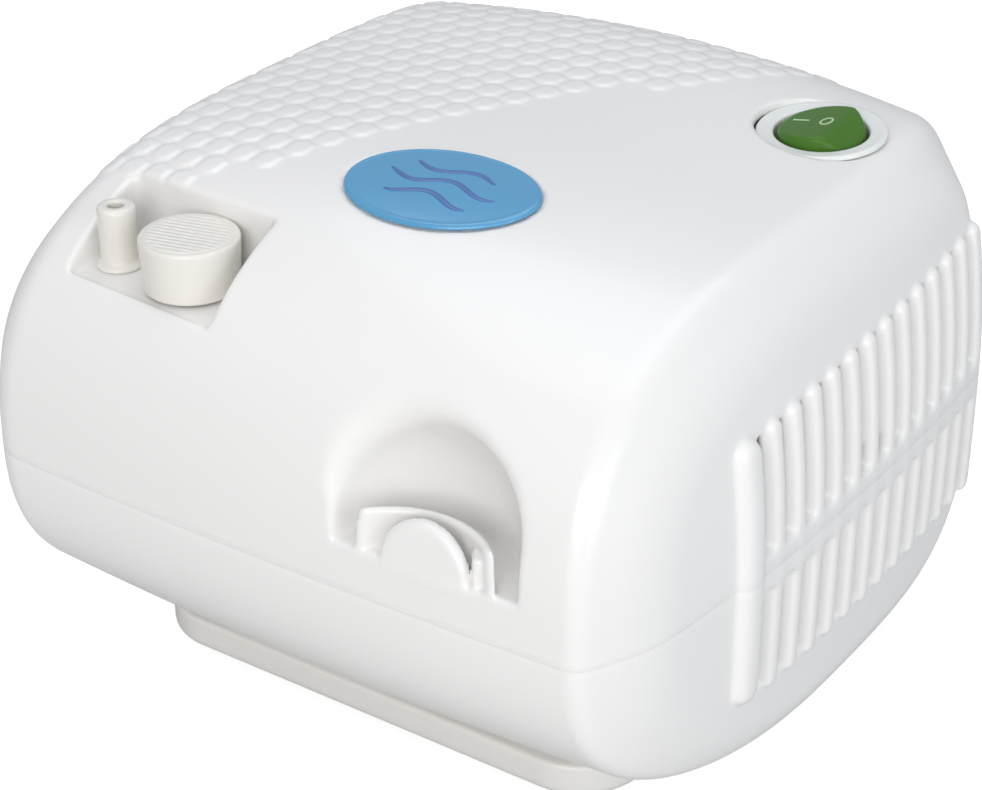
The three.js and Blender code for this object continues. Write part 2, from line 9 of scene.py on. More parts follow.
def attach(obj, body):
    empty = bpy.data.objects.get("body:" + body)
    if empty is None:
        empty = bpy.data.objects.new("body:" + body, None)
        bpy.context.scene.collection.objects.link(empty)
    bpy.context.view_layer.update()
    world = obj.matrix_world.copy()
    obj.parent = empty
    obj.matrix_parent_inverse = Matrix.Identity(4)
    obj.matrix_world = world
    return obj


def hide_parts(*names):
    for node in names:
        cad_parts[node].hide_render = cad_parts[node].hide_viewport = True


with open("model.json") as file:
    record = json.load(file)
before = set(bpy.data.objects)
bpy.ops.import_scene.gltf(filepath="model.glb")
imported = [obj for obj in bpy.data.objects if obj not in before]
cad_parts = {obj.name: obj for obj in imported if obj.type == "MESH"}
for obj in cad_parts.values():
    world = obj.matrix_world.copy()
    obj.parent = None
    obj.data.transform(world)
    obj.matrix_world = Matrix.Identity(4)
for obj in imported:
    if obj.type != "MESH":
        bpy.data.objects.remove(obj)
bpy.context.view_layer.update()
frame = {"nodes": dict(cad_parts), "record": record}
PZ = 52.0
F = np.float32


# ---------------------------------------------------------------- field modelling
def smax(a, b, k):
    h = np.maximum(k - np.abs(a - b), 0) / k
    return np.maximum(a, b) + h * h * (k * 0.25)


def smin(a, b, k):
    h = np.maximum(k - np.abs(a - b), 0) / k
    return np.minimum(a, b) - h * h * (k * 0.25)


class Field:
    """A signed distance field on a regular grid; negative is solid."""

    def __init__(self, lo, hi, h):
        self.h = h
        self.lo = np.array(lo, float)
        self.ax = [np.arange(lo[i], hi[i] + h, h).astype(F) for i in range(3)]
        self.v = np.full([len(a) for a in self.ax], 1e3, F)

    def grid(self):
        x, y, z = self.ax
        return x[:, None, None], y[None, :, None], z[None, None, :]

    def part(self, lo, hi):
        """Slices and coordinates of a box window."""
        sl, co = [], []
        for i in range(3):
            a = int(np.searchsorted(self.ax[i], lo[i]))
            b = int(np.searchsorted(self.ax[i], hi[i]))
            sl.append(slice(a, b))
            co.append(self.ax[i][a:b])
        return tuple(sl), (co[0][:, None, None], co[1][None, :, None], co[2][None, None, :])


CORNERS = [(0, 0, 0), (1, 0, 0), (0, 1, 0), (1, 1, 0), (0, 0, 1), (1, 0, 1), (0, 1, 1), (1, 1, 1)]
EDGES = [(0, 1), (2, 3), (4, 5), (6, 7), (0, 2), (1, 3), (4, 6), (5, 7), (0, 4), (1, 5), (2, 6), (3, 7)]


def skin(field, relax=1):
    """The zero surface of a field as vertices (mm) and quads."""
    v = field.v
    s = v < 0
    for face in (s[0], s[-1], s[:, 0], s[:, -1], s[:, :, 0], s[:, :, -1]):
        face[...] = False
    nx, ny, nz = (n - 1 for n in s.shape)
    c = np.zeros((nx, ny, nz), np.uint8)
    for a, b, d in CORNERS:
        c += s[a : a + nx, b : b + ny, d : d + nz]
    active = (c > 0) & (c < 8)
    i, j, k = np.nonzero(active)
    index = np.full(active.shape, -1, np.int32)
    index[i, j, k] = np.arange(len(i), dtype=np.int32)
    val = [v[i + a, j + b, k + d].astype(float) for a, b, d in CORNERS]
    ins = [s[i + a, j + b, k + d] for a, b, d in CORNERS]
    p = np.zeros((len(i), 3))
    n = np.zeros(len(i))
    for a, b in EDGES:
        m = ins[a] != ins[b]
        t = np.clip(val[a][m] / (val[a][m] - val[b][m] + 1e-12), 0.02, 0.98)
        ca, cb = np.array(CORNERS[a], float), np.array(CORNERS[b], float)
        p[m] += ca + t[:, None] * (cb - ca)
        n[m] += 1
    p = (np.stack([i, j, k], 1) + p / n[:, None]) * field.h + field.lo
    quads = []

    def add(q, flip):
        q = np.stack(q, 1)
        q[flip] = q[flip][:, ::-1]
        quads.append(q)

    e = s[:-1, 1:-1, 1:-1] != s[1:, 1:-1, 1:-1]
    a, b, d = np.nonzero(e)
    b, d = b + 1, d + 1
    add((index[a, b - 1, d - 1], index[a, b, d - 1], index[a, b, d], index[a, b - 1, d]), ~s[a, b, d])
    e = s[1:-1, :-1, 1:-1] != s[1:-1, 1:, 1:-1]
    a, b, d = np.nonzero(e)
    a, d = a + 1, d + 1
    add((index[a - 1, b, d - 1], index[a - 1, b, d], index[a, b, d], index[a, b, d - 1]), ~s[a, b, d])
    e = s[1:-1, 1:-1, :-1] != s[1:-1, 1:-1, 1:]
    a, b, d = np.nonzero(e)
    a, b = a + 1, b + 1
    add((index[a - 1, b - 1, d], index[a, b - 1, d], index[a, b, d], index[a - 1, b, d]), ~s[a, b, d])
    q = np.concatenate(quads)
    for _ in range(relax):
        p = laplace(p, q, 0.5)
    p, _ = settle(p, field)
    return p, q


def laplace(p, q, amount):
    m = len(p)
    acc = np.zeros((m, 3))
    cnt = np.zeros(m)
    for s in range(4):
        a, b = q[:, s], q[:, (s + 1) % 4]
        for ax in range(3):
            acc[:, ax] += np.bincount(a, p[b, ax], m)
        cnt += np.bincount(a, minlength=m)
    for s in range(4):
        a, b = q[:, (s + 1) % 4], q[:, s]
        for ax in range(3):
            acc[:, ax] += np.bincount(a, p[b, ax], m)
        cnt += np.bincount(a, minlength=m)
    ok = cnt > 0
    out = p.copy()
    out[ok] += amount * (acc[ok] / cnt[ok, None] - p[ok])
    return out


def sample(v, p, field):
    """Trilinear value of a grid at points (mm)."""
    g = (p - field.lo) / field.h
    i = np.clip(np.floor(g).astype(int), 0, np.array(v.shape) - 2)
    f = g - i
    out = 0.0
    for a, b, c in CORNERS:
        w = (f[:, 0] if a else 1 - f[:, 0]) * (f[:, 1] if b else 1 - f[:, 1]) * (f[:, 2] if c else 1 - f[:, 2])
        out = out + w * v[i[:, 0] + a, i[:, 1] + b, i[:, 2] + c]
    return out


def settle(p, field, rounds=2, reach=0.45):
    """Moves vertices along the gradient on to the zero surface; returns unit normals too."""
    h = field.h
    for r in range(rounds + 1):
        g = np.stack(
            [
                sample(field.v, p + np.eye(3)[a] * h * 0.5, field) - sample(field.v, p - np.eye(3)[a] * h * 0.5, field)
                for a in range(3)
            ],
            1,
        ) / h
        n2 = (g * g).sum(1)
        n = g / np.sqrt(n2 + 1e-9)[:, None]
        if r == rounds:
            return p, n
        d = sample(field.v, p, field) / np.sqrt(n2 + 0.05)
        p = p - n * np.clip(d, -reach * h, reach * h)[:, None]


def crisp_edge(p, nv, fd, sgn):
    """Sharpens the outer parting edge, which the grid leaves bevelled."""
    rad = np.linalg.norm(p[:, :2], axis=1)[:, None] + 1e-6
    m = (p[:, 2] * sgn < 0.84 * fd.h) & ((nv[:, :2] * p[:, :2] / rad).sum(1) > 0.2)
    w = p[m].copy()
    w[:, 2] = 0.9 * sgn
    for _ in range(3):
        g = np.zeros((len(w), 3))
        for a in (0, 1):
            e = np.eye(3)[a] * 0.25
            g[:, a] = (sample(fd.v, w + e, fd) - sample(fd.v, w - e, fd)) / 0.5
        n2 = (g * g).sum(1) + 0.05
        w -= g * np.clip(sample(fd.v, w, fd) / n2, -0.4, 0.4)[:, None]
    w[:, 2] = 0.04 * sgn
    p[m] = w
    nv[m] = g / (np.linalg.norm(g, axis=1)[:, None] + 1e-6)
    return p, nv


def keep_main(p, q):
    """Drops loose specks: only the largest connected surface group stays."""
    m = len(p)
    lab = np.arange(m)
    while True:
        low = lab[q].min(1)
        new = lab.copy()
        for s in range(4):
            np.minimum.at(new, q[:, s], low)
        new = new[new]
        if (new == lab).all():
            break
        lab = new
    names, count = np.unique(lab, return_counts=True)
    big = names[count > 0.02 * m]
    keep = np.isin(lab, big)
    remap = np.cumsum(keep) - 1
    return p[keep], remap[q[keep[q[:, 0]]]]


def to_object(name, p, q, body, mat, replaces=(), smooth=True, normals=None):
    """Mesh from mm vertices (casing frame) and faces; placed in the row frame."""
    me = bpy.data.meshes.new(name)
    p = (p + np.array([0, 0, PZ])) * 0.001
    me.vertices.add(len(p))
    me.vertices.foreach_set("co", p.astype(F).ravel())
    me.loops.add(q.size)
    me.loops.foreach_set("vertex_index", q.astype(np.int32).ravel())
    me.polygons.add(len(q))
    me.polygons.foreach_set("loop_start", np.arange(0, q.size, q.shape[1], dtype=np.int32))
    me.polygons.foreach_set("use_smooth", np.full(len(q), smooth))
    me.update(calc_edges=True)
    if normals is not None:
        me.normals_split_custom_set_from_vertices(normals.tolist())
    for old in replaces:
        if old == name:
            frame["nodes"][old].name = old + "_frame"
    o = bpy.data.objects.new(name, me)
    bpy.context.scene.collection.objects.link(o)
    me.materials.append(mat)
    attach(o, body)
    if replaces:
        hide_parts(*replaces)
    return o


# ---------------------------------------------------------------- casing form
FORM = dict(
    nuf=2.783, nur=6.31, nlf=2.43, nlr=4.5, Hu=54.42, Hl=44.53, br=73.1, kyf=0.019, kyr=0.064,
    ku=0.084, kuL=0.081, kl=0.043, e1f=3.84, e1r=3.28, e2u=4.95, e2l=1.02,
    bT=5.92, bB=3.18, bF=5.3, bR=14.99, iT=9.44, iB=2.7, iF=13.74, iR=14.87, bL=8.82, iL=10.86,
)


def casing(xs, ys, zs, crease=2.6):
    """Distance field of the closed casing form on 1-D coordinate arrays."""
    p = FORM
    d = np.empty((len(xs), len(ys), len(zs)), F)
    x = xs.astype(float)
    for front in (True, False):
        jy = np.nonzero(ys < 0)[0] if front else np.nonzero(ys >= 0)[0]
        if not len(jy):
            continue
        y = ys[jy].astype(float)
        B = 75.0 if front else p["br"]
        ky = p["kyf"] if front else p["kyr"]
        ty = (1 - ky * (x / 63.4) ** 2)[:, None] * B
        u = np.abs(y)[None, :] / ty
        for top in (False, True):
            jz = np.nonzero(zs >= 0)[0] if top else np.nonzero(zs < 0)[0]
            if not len(jz):
                continue
            z = zs[jz].astype(float)
            n = (p["nuf"] if front else p["nur"]) if top else (p["nlf"] if front else p["nlr"])
            H = p["Hu"] if top else p["Hl"]
            kz = np.where(x < 0, p["kuL"], p["ku"]) if top else np.full(len(x), p["kl"])
            tz = (1 - kz * (x / 64.5) ** 2)[:, None] * H
            w = np.abs(z)[None, :] / tz
            U, W = (u**n).astype(F), (w**n).astype(F)
            P2 = ((u ** (n - 1) / ty) ** 2).astype(F)
            Q2 = ((w ** (n - 1) / tz) ** 2).astype(F)
            S = np.maximum(U[:, :, None] + W[:, None, :], F(1e-5))
            r = S ** F(1 / n)
            d1 = (r - 1) * S / (r * np.sqrt(P2[:, :, None] + Q2[:, None, :]) + F(1e-6))
            d1 = np.maximum(d1, F(-40))
            e1 = p["e1f"] if front else p["e1r"]
            e2 = p["e2u"] if top else p["e2l"]
            end = (75 - e1 * (np.abs(y) / 64) ** 2.2)[:, None] - (e2 * (z / 43) ** 2)[None, :]
            d2 = np.abs(x)[:, None, None].astype(F) - end[None].astype(F)
            c = U[:, :, None] / S
            iv, bv = (p["iT"], p["bT"]) if top else (p["iB"], p["bB"])
            ih, bh = (p["iF"], p["bF"]) if front else (p["iR"], p["bR"])
            left = (x < 0)[:, None, None]
            A = np.where(left, F(0.9 * p["iL"]), F(0.9) * (iv + (ih - iv) * c))
            Bx = np.where(left, F(p["bL"] - 0.4), bv - 0.4 + (bh - bv) * c)
            ch = (d1 / A + d2 / Bx + 1) * (A * Bx) / np.sqrt(A * A + Bx * Bx)
            d[:, jy[0] : jy[-1] + 1, jz[0] : jz[-1] + 1] = smax(smax(d1, d2, F(1.2)), ch, F(crease))
    return d


def top_height(x, y):
    """Height of the cover above the parting plane on its upper face."""
    p = FORM
    B = np.where(y < 0, 75.0, p["br"]) * (1 - np.where(y < 0, p["kyf"], p["kyr"]) * (x / 63.4) ** 2)
    n = np.where(y < 0, p["nuf"], p["nur"])
    tz = p["Hu"] * (1 - np.where(x < 0, p["kuL"], p["ku"]) * (x / 64.5) ** 2)
    return tz * np.maximum(1 - np.minimum(np.abs(y) / B, 1) ** n, 0) ** (1 / n)


WALL = 2.2
POCKET = dict(x0=-50.8, x1=-15.8, y0=-65.5, y1=-43.5, floor=35.0, skew=0.08)
CAP = dict(x=-28.8, y=-54.4, r=8.8, top=45.6)
NOZZLE = dict(x=-45.7, y=-54.6, r=3.2, top=46.9)
SWITCH = dict(x=47.4, y=34.4, z=51.0, tilt=math.radians(3))
HOLDER = dict(x=35.25, y=-77, r=18.65, floor=9.1, spring=17.9)
BADGE = dict(x=6.55, y=-27.57, a=18.67, b=12.23, turn=math.radians(7.3))
FIN = dict(y0=-32.9, pitch=6.62, n=13, slot=2.9)
PLINTH = dict(a=54, b=48, r=14, bottom=-50)
HEX_A, HEX_B, HEX_O = (6.07, -0.58), (3.08, 5.36), (-25.4, 6.9)


def badge_oval(x, y, grow=0.0):
    """1 on the badge outline, 0 in its middle."""
    B = BADGE
    c, s = math.cos(B["turn"]), math.sin(B["turn"])
    u, v = (x - B["x"]) * c + (y - B["y"]) * s, (y - B["y"]) * c - (x - B["x"]) * s
    return np.sqrt((u / (B["a"] + grow)) ** 2 + (v / (B["b"] + grow)) ** 2)


def rrect(x, y, x0, x1, y0, y1, r):
    qx = np.abs(x - (x0 + x1) / 2) - (x1 - x0) / 2 + r
    qy = np.abs(y - (y0 + y1) / 2) - (y1 - y0) / 2 + r
    return np.hypot(np.maximum(qx, 0), np.maximum(qy, 0)) + np.minimum(np.maximum(qx, qy), 0) - r


def hexes(x, y):
    """Raised honeycomb: 0 in the grooves, 1 on a cell, over the rear left of the cover."""
    ax, ay = HEX_A
    bx, by = HEX_B
    det = ax * by - ay * bx
    px, py = x - HEX_O[0], y - HEX_O[1]
    fi = (px * by - py * bx) / det
    fj = (ax * py - ay * px) / det
    i0, j0 = np.floor(fi), np.floor(fj)
    best = np.full(np.broadcast(x, y).shape, 1e9)
    second = best.copy()
    cx, cy = best.copy(), best.copy()
    for di in (0, 1):
        for dj in (0, 1):
            qx = HEX_O[0] + (i0 + di) * ax + (j0 + dj) * bx
            qy = HEX_O[1] + (i0 + di) * ay + (j0 + dj) * by
            dd = np.hypot(x - qx, y - qy)
            closer = dd < best
            second = np.where(closer, best, np.minimum(second, dd))
            cx, cy = np.where(closer, qx, cx), np.where(closer, qy, cy)
            best = np.where(closer, dd, best)
    edge = (second - best) * 0.5  # about the distance to the cell border
    t = np.clip((edge - 0.15) / 1.05, 0, 1)
    t = t * t * (3 - 2 * t)
    bound = np.interp(cy, [-46, -27.4, -4.4, 12.6, 26, 36.9, 51.6, 75], [-37.5, -25.3, -10.8, -2.4, 9, 20, 31.2, 44])
    on = (cx < bound) & (cx > -63) & (cy > -44) & (cy < 66)
    return t * on


# ---------------------------------------------------------------- materials
def nodes_of(name):
    m = bpy.data.materials.new(name)
    m.use_nodes = True
    nt = m.node_tree
    b = nt.nodes["Principled BSDF"]
    return m, nt, b


def noise(nt, scale, detail=3.0, coord=None, rough=0.5):
    t = nt.nodes.new("ShaderNodeTexNoise")
    t.inputs["Scale"].default_value = scale
    t.inputs["Detail"].default_value = detail
    t.inputs["Roughness"].default_value = rough
    if coord is None:
        coord = nt.nodes.new("ShaderNodeTexCoord").outputs["Object"]
    nt.links.new(coord, t.inputs["Vector"])
    return t


def ramp(nt, src, lo, hi):
    r = nt.nodes.new("ShaderNodeMapRange")
    r.inputs["From Min"].default_value = 0.3
    r.inputs["From Max"].default_value = 0.7
    r.inputs["To Min"].default_value = lo
    r.inputs["To Max"].default_value = hi
    nt.links.new(src, r.inputs["Value"])
    return r.outputs["Result"]


def mix_col(nt, fac, a, b):
    m = nt.nodes.new("ShaderNodeMix")
    m.data_type = "RGBA"
    m.inputs["A"].default_value = (*a, 1)
    m.inputs["B"].default_value = (*b, 1)
    nt.links.new(fac, m.inputs["Factor"])
    return m.outputs["Result"]


def bump(nt, b, src, strength, dist):
    n = nt.nodes.new("ShaderNodeBump")
    n.inputs["Strength"].default_value = strength
    n.inputs["Distance"].default_value = dist
    nt.links.new(src, n.inputs["Height"])
    nt.links.new(n.outputs["Normal"], b.inputs["Normal"])


def plastic(name, col, rough=0.3, vary=0.03, coat=0.2, grain=0.1, sss=0.0, spec=0.5):
    m, nt, b = nodes_of(name)
    big = noise(nt, 22, 2)
    fine = noise(nt, 2600, 2)
    a = tuple(max(0, c * (1 - vary)) for c in col)
    c = tuple(min(1, c * (1 + vary)) for c in col)
    nt.links.new(mix_col(nt, ramp(nt, big.outputs["Fac"], 0, 1), a, c), b.inputs["Base Color"])
    mid = noise(nt, 45, 2)
    nt.links.new(ramp(nt, mid.outputs["Fac"], rough * 0.95, rough * 1.06), b.inputs["Roughness"])
    b.inputs["Coat Weight"].default_value = coat
    b.inputs["Coat Roughness"].default_value = 0.08
    b.inputs["Specular IOR Level"].default_value = spec
    if sss:
        b.inputs["Subsurface Weight"].default_value = sss
        b.inputs["Subsurface Radius"].default_value = (1.0, 0.85, 0.6)
        b.inputs["Subsurface Scale"].default_value = 0.002
    bump(nt, b, fine.outputs["Fac"], grain, 0.00003)
    return m


def metal(name, col, rough=0.35, streak=(1, 1, 1), grain=0.15):
    m, nt, b = nodes_of(name)
    co = nt.nodes.new("ShaderNodeTexCoord").outputs["Object"]
    mp = nt.nodes.new("ShaderNodeMapping")
    mp.inputs["Scale"].default_value = streak
    nt.links.new(co, mp.inputs["Vector"])
    n1 = noise(nt, 500, 4, mp.outputs["Vector"])
    dark = tuple(c * 0.75 for c in col)
    nt.links.new(mix_col(nt, ramp(nt, n1.outputs["Fac"], 0, 1), dark, col), b.inputs["Base Color"])
    nt.links.new(ramp(nt, n1.outputs["Fac"], rough * 0.75, rough * 1.3), b.inputs["Roughness"])
    b.inputs["Metallic"].default_value = 1.0
    bump(nt, b, n1.outputs["Fac"], grain, 0.00005)
    return m


WHITE = plastic("casing_plastic", (0.855, 0.845, 0.828), rough=0.315, vary=0.006, coat=0.25, grain=0.05)
BASE = plastic("plinth_plastic", (0.76, 0.75, 0.72), rough=0.36, vary=0.008, coat=0.15, grain=0.08)
CREAM = plastic("fitting_plastic", (0.80, 0.775, 0.72), rough=0.33, vary=0.012, coat=0.15, grain=0.08)
BEZEL = plastic("bezel_plastic", (0.80, 0.82, 0.80), rough=0.22, vary=0.01, coat=0.3, grain=0.05)
GREEN = plastic("rocker_plastic", (0.062, 0.175, 0.018), rough=0.34, vary=0.08, coat=0.04, grain=0.1, spec=0.24)
MARK = plastic("mark_print", (0.48, 0.64, 0.42), rough=0.5, vary=0.05, coat=0.0, grain=0.2)
BLUE = plastic("badge_foil", (0.09, 0.335, 0.58), rough=0.25, vary=0.04, coat=0.4, grain=0.03)
INK = plastic("badge_print", (0.06, 0.16, 0.42), rough=0.3, vary=0.06, coat=0.3, grain=0.05)
RUBBER = plastic("rubber", (0.028, 0.03, 0.032), rough=0.75, vary=0.15, coat=0.0, grain=0.5)
BLACK = plastic("black_plastic", (0.03, 0.032, 0.036), rough=0.42, vary=0.1, coat=0.05, grain=0.4)
HOSE = plastic("silicone_hose", (0.66, 0.69, 0.67), rough=0.4, vary=0.04, coat=0.1, grain=0.1, sss=0.2)
SEAL = plastic("filled_ptfe", (0.30, 0.20, 0.11), rough=0.5, vary=0.12, coat=0.0, grain=0.3)
FELT = plastic("felt", (0.80, 0.78, 0.71), rough=0.95, vary=0.08, coat=0.0, grain=1.0)
STEEL = metal("steel", (0.60, 0.61, 0.63), 0.3, (1, 8, 1))
LAMIN = metal("lamination", (0.33, 0.34, 0.36), 0.45, (30, 1, 1), 0.5)
COPPER = metal("enamelled_copper", (0.72, 0.33, 0.13), 0.35, (1, 1, 14), 0.6)
BRONZE = metal("bronze", (0.72, 0.53, 0.26), 0.3)
CAST = metal("cast_alloy", (0.66, 0.67, 0.69), 0.48, (1, 1, 1), 0.6)

SLOT_MAT = dict(
    casing_white=WHITE, fitting_cream=CREAM, rocker_green=GREEN, badge_blue=BLUE, black_rubber=RUBBER,
    steel=STEEL, lamination=LAMIN, copper_coil=COPPER, bronze=BRONZE, cast_alloy=CAST,
    black_plastic=BLACK, seal_ptfe=SEAL, filter_felt=FELT, hose=HOSE,
)
for sub in frame["record"].get("subparts", []):
    o = frame["nodes"].get(sub["node"])
    if o is None:
        continue
    o.data.materials.clear()
    o.data.materials.append(SLOT_MAT[sub["material_slot"]])


# ---------------------------------------------------------------- upper cover
def vents(fd, z_lo, z_hi, body, low):
    """Raised finned panels with through slots on both ends; returns the edited field values."""
    y0, pitch, n = FIN["y0"], FIN["pitch"], FIN["n"]
    for sgn in (-1, 1):
        lo = (55, -42, z_lo) if sgn > 0 else (-79, -42, z_lo)
        hi = (79, 62, z_hi) if sgn > 0 else (-55, 62, z_hi)
        sl, (x, y, z) = fd.part(lo, hi)
        d = body[sl]
        p = FORM
        ax = np.abs(x)
        end = (
            75
            - np.where(y < 0, p["e1f"], p["e1r"]) * (np.abs(y) / 64) ** 2.2
            - np.where(z > 0, p["e2u"], p["e2l"]) * (z / 43) ** 2
        )
        d2 = ax - end
        # each fin is a rounded bar; fin 0 is the long wide one at the front
        k = np.clip(np.round((y - y0) / pitch), 0, n)
        yc = y0 + k * pitch
        rad = np.where(k == 0, 3.35, (pitch - FIN["slot"]) / 2 + 0.35)
        yc = np.where(k == 0, yc - 1.75, yc)
        top = 27.2 + 0.36 * np.maximum(k - 1, 0)
        bot = np.where(k == 0, -25.0, -26.0)
        zz = np.clip(z, bot + rad, top - rad)
        bar = np.hypot(y - yc, z - zz) - rad
        crest = d2 - np.where(k == 0, 2.15, 1.3)
        prof = smax(bar, crest, np.where(k == 0, 3.0, 1.7))
        inner = -(d2 + 1.1)
        fin = np.maximum(prof, inner)
        # plain band joins the bars between the two rows
        band = np.maximum(np.maximum(np.abs(z + 0.4) - 4.3, y0 - y), y - (y0 + n * pitch))
        band = np.maximum(smax(band, d2 - 1.3, 1.2), -(d2 + 2.2))
        panel = smin(fin, band, 0.3)
        both = smin(d, panel.astype(F), 0.6)
        # slots between the bars
        ks = np.clip(np.floor((y - y0) / pitch), 0, n - 1)
        ys_ = y0 + (ks + 0.5) * pitch
        half = FIN["slot"] / 2 - 0.1
        if low:
            s_lo, s_hi = -25.0, -4.6
        else:
            s_lo, s_hi = 3.7, 25.6
        rise = 0 if low else 0.36 * ks
        zz = np.clip(z, s_lo + half, s_hi + rise - half)
        taper = 0.75 + (half - 0.75) * np.clip((d2 + 0.6) / 1.8, 0, 1)
        slot = np.hypot(y - ys_, z - zz) - taper
        slot = np.maximum(slot, -(d2 + 8)) + 0 * x
        both = smax(both, -slot.astype(F), 1.6)
        body[sl] = both
    return body


def build_upper(h):
    fd = Field((-77.5, -77.5, -1.5), (77.5, 77.5, 57.5), h)
    x, y, z = fd.grid()
    ext = casing(fd.ax[0], fd.ax[1], fd.ax[2])
    # honeycomb relief on the outer face only
    X2, Y2 = np.meshgrid(fd.ax[0].astype(float), fd.ax[1].astype(float), indexing="ij")
    hx = (hexes(X2, Y2) * 0.36).astype(F)
    fade = np.clip((z - 36) / 6, 0, 1).astype(F)
    outer = ext - hx[:, :, None] * fade
    body = np.maximum(outer, -(ext + F(WALL)))
    # pocket block and well
    P = POCKET
    sl, (a, b, c) = fd.part((P["x0"] - 6, P["y0"] - 8, P["floor"] - 6), (P["x1"] + 6, P["y1"] + 8, 60))
    bs = b + P["skew"] * (a + 33.3)
    y0, y1 = P["y0"] + 1.4, P["y1"] - 1.4
    blk = smax(rrect(a, bs, P["x0"] - 2, P["x1"] + 2, y0 - 4, y1 + 2, 3), P["floor"] - 2.2 - c, 1.5)
    v = smin(body[sl], np.maximum(blk.astype(F), ext[sl] + F(0.9)), 0.8)
    lean = 0.02 * np.maximum(c - P["floor"], 0)
    well = smax(rrect(a, bs, P["x0"], P["x1"], y0, y1, 1.2) - lean, P["floor"] - c, 0.9)
    v = smax(v, -well.astype(F), 1.0)
    for q in (NOZZLE, CAP):
        v = np.maximum(v, -np.maximum(np.hypot(a - q["x"], b - q["y"]) - 2.75, np.abs(c - P["floor"]) - 6).astype(F))
    body[sl] = v
    # cup-holder recess, its rib and tongue
    H = HOLDER
    sl, (a, b, c) = fd.part((H["x"] - 25, -78, H["floor"] - 6), (H["x"] + 25, -50, 46))
    rr = np.sqrt((a - H["x"]) ** 2 + (b - H["y"]) ** 2 + np.maximum(c - H["spring"], 0) ** 2)
    e = ext[sl]
    blk = np.maximum(rr - H["r"] - 2.3, H["floor"] - 2.2 - c).astype(F)
    well = smax(rr - H["r"], H["floor"] - c, 0.8).astype(F)
    left = np.clip((H["x"] + 9 - a) / 18, 0, 1).astype(F)
    soft = 0.9 + 1.3 * left * np.clip((c - 11) / 8, 0, 1).astype(F) + 4.0 * np.clip((c - 15) / 15, 0, 1).astype(F) * (0.45 + 0.55 * left)
    v = smax(e, -well, soft)
    v = np.maximum(v, -np.maximum(e + F(WALL), -blk))
    rib = np.abs(np.hypot(a - 35.6, b + 84.5) - 16.9) - 0.75
    rib = smax(rib, c - 16.6, 0.8).astype(F)
    rib = np.maximum(np.maximum(rib, rr - H["r"] - 0.8), H["floor"] - 1.5 - c)
    rib = smax(rib, e + F(0.15), 0.5)
    v = smin(v, rib.astype(F), 0.5)
    tong = np.hypot(a - 35.1, c - H["floor"]) - 8.6 + 0 * b
    tong = np.maximum(smax(tong, e, 0.9), -(e + 2.0))
    tong = np.maximum(tong, H["floor"] - 2 - c).astype(F)
    v = smin(v, tong, 0.5)
    # small wedge in the inner channel
    wedge = np.maximum(np.abs((a - 44.6) * 0.8 + (b + 71.6) * 0.6) - 0.9, np.abs((b + 71.6) * 0.8 - (a - 44.6) * 0.6) - 1.9)
    wedge = np.maximum(smax(wedge, c - 14.4, 0.4), H["floor"] - 1.5 - c)
    v = smin(v, np.maximum(wedge, e + F(0.3)).astype(F), 0.4)
    body[sl] = v
    # shallow seat for the badge
    B = BADGE
    sl, (a, b, c) = fd.part((B["x"] - 24, B["y"] - 19, 44), (B["x"] + 24, B["y"] + 19, 58))
    ra = badge_oval(a, b, 0.25)
    seat = np.maximum((ra - 1) * B["b"], -(ext[sl] + 0.5))
    body[sl] = smax(body[sl], -seat.astype(F), 0.5)
    # dish and hole for the round switch
    S = SWITCH
    sl, (a, b, c) = fd.part((S["x"] - 18, S["y"] - 18, 40), (S["x"] + 18, S["y"] + 18, 58))
    ct, st = math.cos(S["tilt"]), math.sin(S["tilt"])
    lx = a - S["x"]
    ly = (b - S["y"]) * ct + (c - S["z"]) * st
    lz = -(b - S["y"]) * st + (c - S["z"]) * ct
    rho = np.hypot(lx, ly)
    dish = smax(rho - 12.45, -0.35 - lz, 0.8)
    hole = rho - 9.9
    v = smax(body[sl], -dish.astype(F), 0.6)
    body[sl] = smax(v, -hole.astype(F), 0.5)
    body = vents(fd, -1.0, 44, body, False)
    # screw posts
    for sx in (-1, 1):
        for sy in (-1, 1):
            sl, (a, b, c) = fd.part((sx * 61 - 6, sy * 30 - 6, -1), (sx * 61 + 6, sy * 30 + 6, 58))
            rr = np.hypot(a - sx * 61, b - sy * 30)
            post = np.maximum(np.maximum(rr - 4, 0.6 - c), ext[sl] + 1.0).astype(F)
            v = smin(body[sl], post, 1.0)
            body[sl] = np.maximum(v, -np.maximum(rr - 1.5, c - 16).astype(F))
    # parting edge
    body = np.maximum(body, -np.maximum(np.maximum(ext + F(1.0), -(ext + F(2.6))), z - F(1.5)))
    fd.v = smax(body, (F(0.05) - z) + 0 * body, F(0.2))
    return fd


